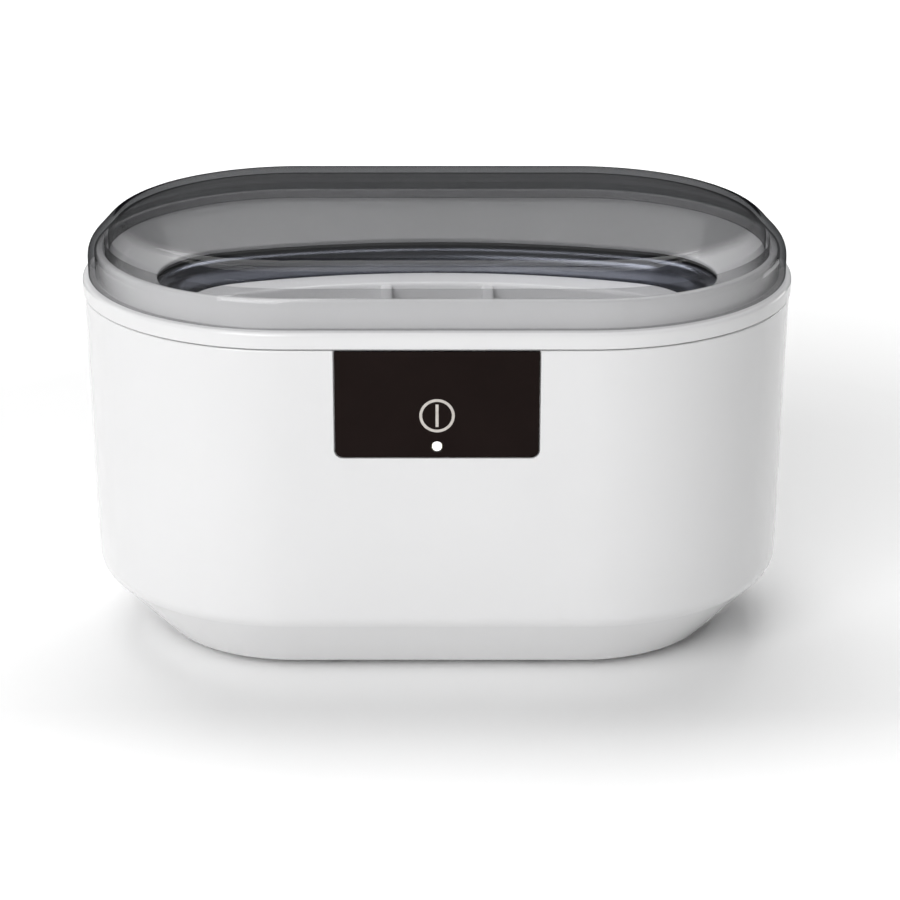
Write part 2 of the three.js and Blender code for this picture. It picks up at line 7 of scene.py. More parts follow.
import bmesh
import bpy
from mathutils import Matrix, Vector


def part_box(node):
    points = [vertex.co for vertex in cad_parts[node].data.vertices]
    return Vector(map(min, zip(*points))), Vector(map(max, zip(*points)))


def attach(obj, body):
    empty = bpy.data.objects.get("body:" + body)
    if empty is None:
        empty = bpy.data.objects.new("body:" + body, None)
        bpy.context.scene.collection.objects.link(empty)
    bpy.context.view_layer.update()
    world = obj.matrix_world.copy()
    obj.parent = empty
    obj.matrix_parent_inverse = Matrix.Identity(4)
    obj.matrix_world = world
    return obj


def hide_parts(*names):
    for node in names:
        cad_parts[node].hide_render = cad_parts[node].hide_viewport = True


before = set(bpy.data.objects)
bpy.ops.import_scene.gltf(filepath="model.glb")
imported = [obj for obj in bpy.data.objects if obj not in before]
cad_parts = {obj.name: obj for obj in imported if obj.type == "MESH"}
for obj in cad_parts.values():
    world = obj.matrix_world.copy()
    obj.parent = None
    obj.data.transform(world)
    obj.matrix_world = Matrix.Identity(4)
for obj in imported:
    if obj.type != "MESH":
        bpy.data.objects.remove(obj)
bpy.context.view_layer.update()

MM = 0.001


def box_mm(node):
    """A CAD node's lowest and highest corners, in millimetres."""
    low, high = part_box(node)
    return low / MM, high / MM


# ---- Driving sizes, in millimetres ----

COVER_LO, COVER_HI = box_mm("top_cover")
BODY_LO, BODY_HI = box_mm("body_shell")
LID_LO, LID_HI = box_mm("lid")
TANK_LO, TANK_HI = box_mm("tank")
BASKET_HI = box_mm("basket")[1]
BASE_LO = box_mm("base_plate")[0]
WINDOW_LO, WINDOW_HI = box_mm("panel_window")
INLET_LO, INLET_HI = box_mm("inlet_body")

RING_R = COVER_HI.y
STRAIGHT = COVER_HI.x - RING_R  # half the length of the casing's straight sides
TANK_FLANGE = 6.0
MOUTH_A = TANK_HI.x - TANK_FLANGE  # the opening above the tank: half length, half width, end radius
MOUTH_B = TANK_HI.y - TANK_FLANGE
MOUTH_END = MOUTH_B - 9.3

BODY_BOTTOM = BODY_LO.z
BODY_TOP_R = BODY_HI.y
BODY_TOP = BODY_HI.z
BODY_WALL = 2.6
BASE_R = 42.0
CHAMFER_R = 60.8
CHAMFER_Z = 22.8
DRAFT = (BODY_TOP_R - CHAMFER_R) / (BODY_TOP - CHAMFER_Z)
LEDGE = COVER_LO.z + 10.3
COLLAR_TOP = COVER_HI.z
LID_R = LID_HI.y
LID_TOP = LID_HI.z
TANK_TOP = TANK_HI.z
TANK_FLOOR = TANK_LO.z + 1.0
SEAT = TANK_TOP + 1.3  # flat underside round the opening
MOUTH_TOP = SEAT + 1.0
DECK_TOP = 117.1
COLLAR_R = 58.0
WELL_R = 56.0  # the collar's inner face, down to the deck
TONGUE_R = 59.1  # the tongue that pushes into the body shell
TONGUE_INNER_R = 57.3
SHELF_Z = COVER_LO.z + 5.6  # where the ring stops and the tongue starts
BASKET_TOP = BASKET_HI.z
BASKET_FLOOR = 60.0
BASKET_SHORTER = 2.4  # how much shorter than the opening it is at each end
BASKET_LEG = (46, 11)
DIVIDER_X = 15.4
SLOT_WIDTH = 4.4
LED_DROP = 28.2
KEY_DROP = 18.9

# ---- Oval shells ----

SIDE_STEPS = 10
END_STEPS = 36
FILLET_STEPS = 7


def quarter_oval(a, b, end):
    """A quarter of an oval made of two tangent arcs, from the middle of a long side to the tip."""
    run = a - end
    straight = b - end < 1e-3
    side = 0.0 if straight else (run**2 + b**2 - end**2) / (2 * (b - end))
    lean = 0.0 if straight else math.asin(run / (side - end))
    points = []
    for i in range(SIDE_STEPS):
        part = i / SIDE_STEPS
        x = run * part if straight else side * math.sin(lean * part)
        points.append((x, b - side * (1 - math.cos(lean * part))))
    for i in range(END_STEPS + 1):
        angle = lean + (math.pi / 2 - lean) * i / END_STEPS
        points.append((run + end * math.sin(angle), end * math.cos(angle)))
    return points


def oval_ring(a, b, end):
    """The whole oval, anticlockwise from the middle of the front."""
    quarter = quarter_oval(a, b, end)
    last = len(quarter) - 1
    ring = []
    for k in range(4 * last):
        side, step = divmod(k, last)
        x, y = quarter[step if side % 2 == 0 else last - step]
        ring.append((x if side < 2 else -x, -y if side in (0, 3) else y))
    return ring


class Level:
    """One oval section: half length, half width, end radius, height, and the fillet of the corner there."""

    def __init__(self, a, b, end, z, fillet=0.0):
        self.a, self.b, self.end, self.z, self.fillet = a, b, end, z, fillet
        self.capped = False

    def values(self):
        return self.a, self.b, self.end, self.z

    def mix(self, other, part):
        return Level(*(p + (q - p) * part for p, q in zip(self.values(), other.values())))

    def distance(self, other):
        return math.hypot(self.b - other.b, self.z - other.z)


def casing(radius, z, fillet=0.0):
    return Level(STRAIGHT + radius, radius, radius, z, fillet)


def opening(grow, z, fillet=0.0):
    return Level(MOUTH_A + grow, MOUTH_B + grow, MOUTH_END + grow, z, fillet)


def tray(grow, z, fillet=0.0):
    """The basket's family: parallel to the opening, but a little shorter."""
    return Level(MOUTH_A - BASKET_SHORTER + grow, MOUTH_B + grow, MOUTH_END - 0.4 + grow, z, fillet)


def capped(level):
    """The skin stops at this level and at its capped neighbour, and each is closed with a flat face."""
    level.capped = True
    return level


def filleted(corners):
    """Turns each corner that has a fillet into a run of levels along a rounded corner."""
    levels = []
    for i, corner in enumerate(corners):
        if corner.fillet <= 0:
            levels.append(corner)
            continue
        before, after = corners[i - 1], corners[(i + 1) % len(corners)]
        start = corner.mix(before, min(0.49, corner.fillet / corner.distance(before)))
        end = corner.mix(after, min(0.49, corner.fillet / corner.distance(after)))
        for k in range(FILLET_STEPS + 1):
            part = k / FILLET_STEPS
            levels.append(start.mix(corner, part).mix(corner.mix(end, part), part))
    return levels


def distinct(vertices):
    return [v for i, v in enumerate(vertices) if v not in vertices[:i]]


def cap(bm, ring):
    """Closes an oval ring with strips across its width."""
    count = len(ring)
    for k in range(count // 4, -count // 4, -1):
        far, near = (count // 2 - k) % count, (count // 2 - k + 1) % count
        strip = distinct([ring[k % count], ring[(k - 1) % count], ring[near], ring[far]])
        if len(strip) > 2:
            bm.faces.new(strip)


def oval_mesh(name, corners):
    """Sweeps a closed profile round the oval. Between two capped levels the skin is left open."""
    bm = bmesh.new()
    levels = filleted(corners)
    rings = []
    for level in levels:
        outline = oval_ring(level.a, level.b, level.end)
        rings.append([bm.verts.new((x * MM, y * MM, level.z * MM)) for x, y in outline])
    for i, level in enumerate(levels):
        n = (i + 1) % len(levels)
        if not (level.capped and levels[n].capped):
            bridge(bm, rings[i], rings[n])
        if level.capped:
            cap(bm, rings[i])
    return bake_mesh(name, bm)


# ---- Mesh helpers ----


def bridge(bm, low, high):
    """Joins two rings of the same length with faces."""
    count = len(low)
    for k in range(count):
        n = (k + 1) % count
        corners = distinct([low[k], low[n], high[n], high[k]])
        if len(corners) > 2:
            bm.faces.new(corners)


def bake_mesh(name, bm):
    """Makes an object from a bmesh, with its faces pointing out."""
    bmesh.ops.recalc_face_normals(bm, faces=bm.faces)
    mesh = bpy.data.meshes.new(name)
    bm.to_mesh(mesh)
    bm.free()
    obj = bpy.data.objects.new(name, mesh)
    bpy.context.scene.collection.objects.link(obj)
    return obj


def apply_modifiers(obj):
    """Gives obj the mesh that its modifiers make, and removes them."""
    graph = bpy.context.evaluated_depsgraph_get()
    graph.update()
    mesh = bpy.data.meshes.new_from_object(obj.evaluated_get(graph))
    obj.modifiers.clear()
    obj.data = mesh


def smooth(obj, angle=35):
    """Smooth shading that keeps flat faces flat and leaves edges sharper than the angle crisp."""
    obj.data.shade_smooth()
    obj.data.set_sharp_from_angle(angle=math.radians(angle))
    modifier = obj.modifiers.new("normals", "WEIGHTED_NORMAL")
    modifier.keep_sharp = True
    modifier.weight = 80
    apply_modifiers(obj)
    return obj


def combine(obj, tools, operation="DIFFERENCE"):
    """Cuts the tools out of obj, or joins them to it, and removes them."""
    for tool in tools:
        modifier = obj.modifiers.new("combine", "BOOLEAN")
        modifier.operation = operation
        modifier.solver = "EXACT"
        modifier.object = tool
        apply_modifiers(obj)
        bpy.data.objects.remove(tool)
    return obj


def inset(outline, distance):
    """Moves each point of an anticlockwise outline inwards along its corner's bisector."""
    moved = []
    for i, here in enumerate(outline):
        point, before = Vector(here), Vector(outline[i - 1])
        after = Vector(outline[(i + 1) % len(outline)])
        one, two = (point - before).normalized(), (after - point).normalized()
        normal = Vector((-one.y - two.y, one.x + two.x)).normalized()
        moved.append(point + normal * distance / max(0.3, normal.dot(Vector((-one.y, one.x)))))
    return moved


def prism(name, outline, levels, place=Matrix.Identity(4)):
    """Stacks copies of a flat outline. Each level is (height, inset), and the ends are closed."""
    bm = bmesh.new()
    rings = []
    for height, step in levels:
        points = [place @ Vector((p[0], p[1], height)) for p in inset(outline, step)]
        rings.append([bm.verts.new(p * MM) for p in points])
    for low, high in zip(rings, rings[1:]):
        bridge(bm, low, high)
    bm.faces.new(rings[0])
    bm.faces.new(rings[-1])
    return bake_mesh(name, bm)


def rounded(width, height, lower, upper, x=0.0, y=0.0, steps=8):
    """An anticlockwise rectangle centred on x, y, with the given radii at its lower and upper corners."""
    points = []
    corners = [(-1, -1, lower), (1, -1, lower), (1, 1, upper), (-1, 1, upper)]
    for i, (sx, sy, radius) in enumerate(corners):
        cx, cy = x + sx * (width / 2 - radius), y + sy * (height / 2 - radius)
        if radius <= 0:
            points.append((cx, cy))
            continue
        for k in range(steps + 1):
            angle = math.pi + (i + k / steps) * math.pi / 2
            points.append((cx + radius * math.cos(angle), cy + radius * math.sin(angle)))
    return points


def circle(radius, steps=48, x=0.0, y=0.0):
    angles = [2 * math.pi * k / steps for k in range(steps)]
    return [(x + radius * math.cos(t), y + radius * math.sin(t)) for t in angles]


def turned(name, profile, steps=40, place=Matrix.Identity(4)):
    """A turned piece about the local Z axis. Its points are (radius, height), from axis to axis."""
    bm = bmesh.new()
    rings = []
    for radius, height in profile:
        if radius <= 0:
            rings.append([bm.verts.new((place @ Vector((0, 0, height))) * MM)] * steps)
            continue
        points = [place @ Vector((x, y, height)) for x, y in circle(radius, steps)]
        rings.append([bm.verts.new(p * MM) for p in points])
    for low, high in zip(rings, rings[1:]):
        bridge(bm, low, high)
    return bake_mesh(name, bm)


def at(x, y, z=0.0):
    return Matrix.Translation((x, y, z))


# ---- Materials ----

SMOKE_FALL = 3.5  # how fast the smoky lid darkens towards grazing angles: partly as a tinted wall does, partly painted shade at its edges
HEM_SHADE = 0.2  # painted shade: how dark its lower rim is, for the shaded gap under it
HEM_RISE = (5e-5, 2e-4)  # metres above its lower edge over which that painted shade fades out
TOP_PAINTED_SHADE = 0.08  # painted shade: how much darker its flat top is
FLAT_UPWARD = (0.88, 0.98)  # the normal's Z over which the flat top's painted shade comes in
RIM_UPWARD = (0.80, 0.88)  # the normal's Z over which the rim's painted dark line comes in
RIM_FACING = (0.755, 0.80)  # the Layer Weight facing over which it comes in
RIM_REACH = (0.0470, 0.0480)  # metres from the oval's middle line over which it comes in


class Finish:
    """A node material around one Principled shader, with short calls for what the finishes share."""

    def __init__(self, name, color, roughness, metallic=0.0):
        self.material = bpy.data.materials.new(name)
        self.material.use_nodes = True
        self.tree = self.material.node_tree
        self.shader = self.tree.nodes["Principled BSDF"]
        self.output = self.tree.nodes["Material Output"]
        self.place = self.add("ShaderNodeTexCoord").outputs["Object"]
        self.shader.inputs["Base Color"].default_value = (*color, 1)
        self.shader.inputs["Roughness"].default_value = roughness
        self.shader.inputs["Metallic"].default_value = metallic

    def add(self, kind, **settings):
        node = self.tree.nodes.new(kind)
        for key, value in settings.items():
            setattr(node, key, value)
        return node

    def link(self, source, target):
        self.tree.links.new(source, target)

    def set(self, **sockets):
        for key, value in sockets.items():
            self.shader.inputs[key.replace("_", " ")].default_value = value
        return self

    def stretched(self, scale):
        """Object coordinates stretched by a factor for each axis."""
        mapping = self.add("ShaderNodeMapping")
        mapping.inputs["Scale"].default_value = scale
        self.link(self.place, mapping.inputs["Vector"])
        return mapping.outputs["Vector"]

    def noise(self, scale, detail=2.0, stretch=None, roughness=0.5):
        node = self.add("ShaderNodeTexNoise")
        node.inputs["Scale"].default_value = scale
        node.inputs["Detail"].default_value = detail
        node.inputs["Roughness"].default_value = roughness
        self.link(self.stretched(stretch) if stretch else self.place, node.inputs["Vector"])
        return node.outputs["Fac"]

    def calc(self, operation, *values):
        """A Math node over sockets and plain numbers."""
        node = self.add("ShaderNodeMath", operation=operation)
        for socket, value in zip(node.inputs, values):
            if isinstance(value, bpy.types.NodeSocket):
                self.link(value, socket)
            else:
                socket.default_value = value
        return node.outputs["Value"]

    def split(self, vector):
        """A vector's X, Y and Z sockets."""
        node = self.add("ShaderNodeSeparateXYZ")
        self.link(vector, node.inputs["Vector"])
        return node.outputs

    def length(self, vector):
        node = self.add("ShaderNodeVectorMath", operation="LENGTH")
        self.link(vector, node.inputs[0])
        return node.outputs["Value"]

    def clear(self, color):
        """A plain see-through shader of one colour."""
        node = self.add("ShaderNodeBsdfTransparent")
        node.inputs["Color"].default_value = (*color, 1)
        return node.outputs["BSDF"]

    def blend(self, factor, first, second):
        node = self.add("ShaderNodeMixShader")
        self.link(factor, node.inputs["Fac"])
        self.link(first, node.inputs[1])
        self.link(second, node.inputs[2])
        return node.outputs["Shader"]

    def ramp(self, value, low, high, start=0.3, end=0.7):
        """Turns a value from start to end into a colour or number from low to high."""
        node = self.add("ShaderNodeMapRange", data_type="FLOAT", clamp=True)
        if isinstance(low, tuple):
            node.data_type = "FLOAT_VECTOR"
            limits = [(start,) * 3, (end,) * 3, low, high]
            names = ["From_Min_FLOAT3", "From_Max_FLOAT3", "To_Min_FLOAT3", "To_Max_FLOAT3"]
            sockets = {s.identifier: s for s in node.inputs}
            for name, limit in zip(names, limits):
                sockets[name].default_value = limit
            self.link(value, sockets["Vector"])
            return node.outputs["Vector"]
        for name, limit in zip(["From Min", "From Max", "To Min", "To Max"], [start, end, low, high]):
            node.inputs[name].default_value = limit
        self.link(value, node.inputs["Value"])
        return node.outputs["Result"]

    def tint(self, value, low, high, start=0.3, end=0.7):
        self.link(self.ramp(value, low, high, start, end), self.shader.inputs["Base Color"])
        return self

    def polish(self, value, low, high, start=0.3, end=0.7):
        self.link(self.ramp(value, low, high, start, end), self.shader.inputs["Roughness"])
        return self

    def relief(self, value, height, strength=1.0):
        """Bump of the given height in metres. A second call adds to the first."""
        node = self.add("ShaderNodeBump")
        node.inputs["Strength"].default_value = strength
        node.inputs["Distance"].default_value = height
        earlier = self.shader.inputs["Normal"].links
        if earlier:
            self.link(earlier[0].from_socket, node.inputs["Normal"])
        self.link(value, node.inputs["Height"])
        self.link(node.outputs["Normal"], self.shader.inputs["Normal"])
        return self


def grey(value):
    return (value, value, value)


def moulded(name, low, high, smooth_at, rough_at, grain, height):
    """Moulded plastic: slight colour and gloss drift, and a fine grain in its surface."""
    finish = Finish(name, high, rough_at)
    finish.tint(finish.noise(14, 3), low, high)
    finish.polish(finish.noise(60, 3), smooth_at, rough_at)
    finish.relief(finish.noise(grain, 2), height)
    return finish


white_gloss = moulded("white_gloss", (0.80, 0.80, 0.805), (0.825, 0.825, 0.83), 0.16, 0.22, 260, 1.5e-6)
white_gloss.set(Coat_Weight=0.7, Coat_Roughness=0.06, IOR=1.5)

base_plastic = moulded("base_plastic", grey(0.60), grey(0.66), 0.42, 0.55, 2400, 3e-5)
basket_plastic = moulded("basket_plastic", (0.90, 0.90, 0.905), (0.94, 0.94, 0.945), 0.3, 0.4, 1500, 1.2e-5)
black_plastic = moulded("black_plastic", grey(0.012), grey(0.02), 0.35, 0.5, 1800, 2e-5)
connector_plastic = moulded("connector_plastic", (0.62, 0.58, 0.45), (0.7, 0.67, 0.54), 0.4, 0.5, 1500, 1e-5)
rubber = moulded("rubber", grey(0.42), grey(0.5), 0.7, 0.85, 3000, 2e-5)
gasket_rubber = moulded("gasket_rubber", grey(0.10), grey(0.14), 0.55, 0.7, 2200, 1e-5)


def rim_shade_line(finish, facing, place, upward):
    """A painted dark line of shade on the rounded rim of the lid's top, where it turns away from the view.
    """
    beyond = finish.ramp(finish.calc("ABSOLUTE", place["X"]), 0.0, 0.1, STRAIGHT * MM, STRAIGHT * MM + 0.1)
    across = finish.add("ShaderNodeCombineXYZ")
    finish.link(beyond, across.inputs["X"])
    finish.link(place["Y"], across.inputs["Y"])
    reach = finish.ramp(finish.length(across.outputs["Vector"]), 0.0, 1.0, *RIM_REACH)
    turning = finish.ramp(facing, 0.0, 1.0, *RIM_FACING)
    rounded_part = finish.ramp(upward, 0.0, 1.0, *RIM_UPWARD)
    return finish.calc("MULTIPLY", finish.calc("MULTIPLY", turning, rounded_part), reach)


def smoky_plastic():
    """Smoky clear plastic that doesn't refract.

    How it darkens with angle is tuned for a view from about 20 degrees up. The darkening is partly painted
    shade: a darker flat top, a dark lower rim and a dark line round the top's rim.
    """
    finish = Finish("smoke_clear", (0.72, 0.72, 0.722), 0.0)
    finish.set(Transmission_Weight=1.0, IOR=1.0, Coat_Weight=0.45, Coat_Roughness=0.02, Coat_IOR=1.45)
    finish.relief(finish.noise(30, 1), 8e-7)
    weight = finish.add("ShaderNodeLayerWeight")
    weight.inputs["Blend"].default_value = 0.5
    facing = weight.outputs["Facing"]
    place = finish.split(finish.place)
    upward = finish.split(finish.add("ShaderNodeNewGeometry").outputs["Normal"])["Z"]
    # Painted shade, in part: the lid darkens towards grazing angles, as a tinted wall partly does.
    grazing = finish.calc("POWER", facing, SMOKE_FALL)
    # Painted shade on the flat top, added to the grazing darkening.
    shaded = finish.calc("ADD", grazing, finish.ramp(upward, 0.0, TOP_PAINTED_SHADE, *FLAT_UPWARD))
    # Painted shade along the lid's lower edge.
    hem_shade = finish.ramp(place["Z"], HEM_SHADE, 0.0, *[LID_LO.z * MM + rise for rise in HEM_RISE])
    # Adds the painted dark line of shade on the top's rim.
    lined = finish.calc("MAXIMUM", shaded, rim_shade_line(finish, facing, place, upward))
    darkest = finish.calc("MAXIMUM", lined, hem_shade)
    # Where these add up, the lid mixes towards a near-black clear shader: painted shade.
    edged = finish.blend(darkest, finish.shader.outputs["BSDF"], finish.clear((0.03, 0.03, 0.035)))
    path = finish.add("ShaderNodeLightPath").outputs
    lit = finish.calc("MAXIMUM", path["Is Shadow Ray"], path["Is Diffuse Ray"])
    either = finish.blend(lit, edged, finish.clear((0.95, 0.95, 0.955)))
    finish.link(either, finish.output.inputs["Surface"])
    return finish


smoke = smoky_plastic()

# Painted shade: the tank's steel is set about a third as bright as real stainless, to stand for the dim tank
# under the lid.
steel = Finish("shaded_drawn_steel", (0.3, 0.31, 0.35), 0.2, metallic=1.0)
steel.tint(steel.noise(20, 3), (0.17, 0.18, 0.215), (0.22, 0.23, 0.265))
steel.polish(steel.noise(1.0, 4, stretch=(900, 900, 30)), 0.16, 0.27)
steel.relief(steel.noise(1.0, 3, stretch=(1500, 1500, 40)), 3e-7)

window_black = Finish("window_black", (0.017, 0.010, 0.009), 0.06)
window_black.set(Specular_IOR_Level=0.07)
window_black.tint(window_black.noise(60, 2), (0.0085, 0.0042, 0.0035), (0.0105, 0.0056, 0.0048))
window_black.polish(window_black.noise(90, 4), 0.05, 0.11)
window_black.relief(window_black.noise(40, 1), 2e-6)

print_ink = Finish("print_ink", (0.62, 0.58, 0.54), 0.4)
print_ink.tint(print_ink.noise(900, 3), (0.56, 0.52, 0.48), (0.66, 0.62, 0.58))
print_ink.relief(print_ink.noise(2500, 2), 4e-6)

dot_glow = Finish("dot_glow", (0.95, 0.95, 0.95), 0.25)
dot_glow.set(Emission_Strength=1.0, Emission_Color=(1, 1, 1, 1))
dot_glow.tint(dot_glow.noise(700, 2), grey(0.9), grey(0.97))


def metal(name, low, high, rough, stretch=(1, 1, 1), scale=400, height=4e-6):
    finish = Finish(name, high, rough, metallic=1.0)
    finish.tint(finish.noise(150, 3), low, high)
    finish.polish(finish.noise(scale, 3, stretch=stretch), rough * 0.7, rough * 1.2)
    finish.relief(finish.noise(scale * 2, 2, stretch=stretch), height)
    return finish


screw_steel = metal("screw_steel", (0.42, 0.42, 0.43), (0.56, 0.56, 0.57), 0.32)
pin_metal = metal("pin_metal", (0.60, 0.59, 0.56), (0.72, 0.71, 0.68), 0.22, stretch=(1, 0.1, 1))
copper = metal("copper_winding", (0.55, 0.22, 0.09), (0.72, 0.34, 0.15), 0.35)
aluminium = metal("aluminium", (0.55, 0.56, 0.57), (0.66, 0.67, 0.68), 0.4, stretch=(1, 1, 0.1))

circuit_board = Finish("circuit_board", (0.02, 0.11, 0.05), 0.4)
tracks = circuit_board.add("ShaderNodeTexBrick", offset=0.5)
tracks.inputs["Scale"].default_value = 160
tracks.inputs["Mortar Size"].default_value = 0.03
tracks.inputs["Color1"].default_value = (0.014, 0.09, 0.04, 1)
tracks.inputs["Color2"].default_value = (0.02, 0.13, 0.055, 1)
tracks.inputs["Mortar"].default_value = (0.05, 0.24, 0.1, 1)
circuit_board.link(circuit_board.place, tracks.inputs["Vector"])
circuit_board.link(tracks.outputs["Color"], circuit_board.shader.inputs["Base Color"])
circuit_board.polish(circuit_board.noise(300, 3), 0.3, 0.5)
circuit_board.relief(tracks.outputs["Fac"], 3e-5)

ceramic = moulded("piezo_ceramic", (0.55, 0.50, 0.40), (0.66, 0.62, 0.52), 0.45, 0.6, 1200, 1e-5)
core_dark = moulded("ferrite_core", grey(0.035), grey(0.06), 0.55, 0.75, 900, 4e-5)
sleeve = moulded("sleeve_blue", (0.012, 0.025, 0.075), (0.02, 0.04, 0.11), 0.25, 0.4, 700, 8e-6)
fuse_glass = moulded("fuse_glass", (0.45, 0.47, 0.47), (0.66, 0.67, 0.66), 0.1, 0.3, 500, 5e-6)
wire_blue = moulded("wire_blue", (0.012, 0.04, 0.16), (0.02, 0.07, 0.24), 0.35, 0.5, 1500, 1e-5)
wire_red = moulded("wire_red", (0.28, 0.012, 0.012), (0.42, 0.025, 0.02), 0.35, 0.5, 1500, 1e-5)
wire_grey = moulded("wire_grey", grey(0.22), grey(0.32), 0.4, 0.55, 1500, 1e-5)
lamp = moulded("lamp_resin", (0.75, 0.72, 0.55), (0.85, 0.82, 0.66), 0.15, 0.3, 900, 5e-6)


def finish_piece(obj, finish, body, slot, *nodes):
    """Gives a new piece its finish and body, and hides the CAD nodes that it stands for. Its slot is not
    used.
    """
    obj.data.materials.clear()
    obj.data.materials.append(finish.material)
    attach(obj, body)
    if nodes:
        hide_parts(*nodes)
    return obj


def corners_of(x, y):
    return [(x, y), (-x, y), (-x, -y), (x, -y)]


FRONT = at(0, -(BODY_TOP_R - DRAFT * (BODY_TOP - WINDOW_HI.z)), WINDOW_HI.z)
FRONT = FRONT @ Matrix.Rotation(math.pi / 2 + math.atan(DRAFT), 4, "X")
REAR = Matrix.Rotation(-math.pi / 2, 4, "X")  # drawn in plan, stood up facing the rear

# ---- Casing ----

WINDOW_WIDTH = WINDOW_HI.x - WINDOW_LO.x
WINDOW_HEIGHT = 31.4
WINDOW_CORNER = 2.2
RECESS_GAP = 0.3
INLET_Z = (INLET_LO.z + INLET_HI.z) / 2
BASE_SCREW = (30, 35.6)
FOOT = (64, 24.6)
POST = (46, 21)
PIN_X = 4.3


def body_shell():
    rise = CHAMFER_Z - BODY_BOTTOM
    run = (CHAMFER_R - BASE_R) / rise
    across = BODY_WALL * math.hypot(CHAMFER_R - BASE_R, rise) / rise
    low = CHAMFER_R - BODY_WALL
    corner = BODY_BOTTOM + (low - BASE_R + across) / run
    flange = 9.0
    shell = oval_mesh("shell", [
        casing(39.8, BODY_BOTTOM),
        casing(BASE_R, BODY_BOTTOM, 0.8),
        casing(CHAMFER_R, CHAMFER_Z, 2.4),
        casing(BODY_TOP_R, BODY_TOP, 0.5),
        casing(BODY_TOP_R - BODY_WALL, BODY_TOP, 0.2),
        casing(low, corner, 4),
        casing(BASE_R + run * (flange - BODY_BOTTOM) - across, flange),
        casing(33, flange),
        casing(33, 5.8),
        casing(39.8, 5.8),
    ])
    tall = WINDOW_HEIGHT + RECESS_GAP + 3
    middle = 3 - tall / 2
    width = WINDOW_WIDTH + 2 * RECESS_GAP
    outline = rounded(width, tall, WINDOW_CORNER + RECESS_GAP, 0, 0, middle)
    recess = prism("recess", outline, [(-1.4, 0), (-0.15, 0), (0.35, -0.45)], FRONT)
    sensor = rounded(44, 24.8, 1, 1, 0, -17.4)
    pocket = prism("pocket", sensor, [(-BODY_WALL - 2, 0), (0.5, 0)], FRONT)
    hole = prism("hole", rounded(20.6, 12, 1.2, 1.2, 0, -INLET_Z), [(50, 0), (72, 0)], REAR)
    screws = [prism("tap", circle(1.8, 20, x, y), [(5.3, 0), (8.3, 0)]) for x, y in corners_of(*BASE_SCREW)]
    return smooth(combine(shell, [recess, pocket, hole, *screws]))


def top_cover():
    return smooth(oval_mesh("cover", [
        casing(RING_R, SHELF_Z, 0.3),
        casing(RING_R, LEDGE, 1.2),
        casing(COLLAR_R, LEDGE, 0.3),
        casing(COLLAR_R, COLLAR_TOP, 0.9),
        casing(WELL_R, COLLAR_TOP, 0.6),
        casing(WELL_R, DECK_TOP, 0.8),
        opening(0, MOUTH_TOP, 0.8),
        opening(0.2, SEAT),
        opening(3.5, SEAT),
        casing(55, DECK_TOP - 3.3),
        casing(WELL_R, DECK_TOP - 6.5),
        casing(TONGUE_INNER_R, 109.1),
        casing(TONGUE_INNER_R, COVER_LO.z),
        casing(TONGUE_R, COVER_LO.z, 0.3),
        casing(TONGUE_R, SHELF_Z),
    ]))


def base_pan():
    bottom, top = BASE_LO.z, BASE_LO.z + 3
    pan = oval_mesh("base_pan", [
        capped(casing(25, bottom)),
        casing(39.5, bottom, 0.5),
        casing(39.5, top, 0.3),
        capped(casing(25, top)),
    ])
    post = [(0, top - 1), (3.8, top - 1), (3.2, top + 1), (3.2, 12.3), (2.8, 12.7), (0, 12.7)]
    combine(pan, [turned("post", post, 32, at(x, y)) for x, y in corners_of(*POST)], "UNION")
    cuts = [prism("bore", circle(1.3, 16, x, y), [(7.6, 0), (14, 0)]) for x, y in corners_of(*POST)]
    head = [(bottom - 1, -0.6), (bottom + 0.4, 0), (bottom + 2.1, 0)]
    shank = [(top - 1.5, 0), (top + 1, 0)]
    plug = [(bottom - 1, 0), (bottom + 1.8, 0)]
    cuts += [prism("head", circle(3.4, 32, x, y), head) for x, y in corners_of(*BASE_SCREW)]
    cuts += [prism("shank", circle(1.8, 20, x, y), shank) for x, y in corners_of(*BASE_SCREW)]
    cuts += [prism("plug", circle(2.2, 20, x, y), plug) for x, y in corners_of(*FOOT)]
    cuts.append(prism("plate", rounded(52, 26, 2, 2), [(bottom - 1, 0), (bottom, 0), (bottom + 0.3, 0.3)]))
    return smooth(combine(pan, cuts))


finish_piece(body_shell(), white_gloss, "housing", "white_gloss", "body_shell")
finish_piece(top_cover(), white_gloss, "housing", "white_gloss", "top_cover")
finish_piece(base_pan(), base_plastic, "housing", "grey_plastic", "base_plate")


def rubber_foot(name, place):
    """A foot with a shallow dish in its sole and a plug on top that pushes into the base."""
    r = 6.0
    sole = [(0, 0.35), (r - 2.2, 0.35), (r - 2.0, 0), (r - 0.9, 0), (r - 0.35, 0.15), (r - 0.05, 0.6)]
    plug = [(r, 1.0), (r, 2.2), (1.9, 2.2), (1.9, 3.8), (1.7, 4), (0, 4)]
    return smooth(turned(name, sole + plug, 48, place))


for i, (x, y) in enumerate(corners_of(*FOOT)):
    foot = rubber_foot(f"rubber_foot_{i + 1}", at(x, y))
    finish_piece(foot, rubber, "housing", "foot_rubber", f"foot_{i + 1}")


def pan_screw(name, head_r, head, shank_r, length, place):
    """A pan-head screw that points up, with a crossed recess in its head."""
    dome = [(0, 0), (head_r * 0.45, 0.03), (head_r * 0.75, 0.14), (head_r * 0.93, 0.38)]
    side = [(head_r, 0.75), (head_r, head)]
    shank = [(shank_r, head), (shank_r, length - 0.6), (shank_r - 0.5, length), (0, length)]
    screw = turned(name, dome + side + shank, 36, place)
    arms = [prism("arm", rounded(w, d, 0.15, 0.15), [(-0.5, 0), (0.05, 0), (head * 0.7, 0.1)], place)
            for w, d in ((head_r * 1.15, 0.9), (0.9, head_r * 1.15))]
    return smooth(combine(screw, arms))


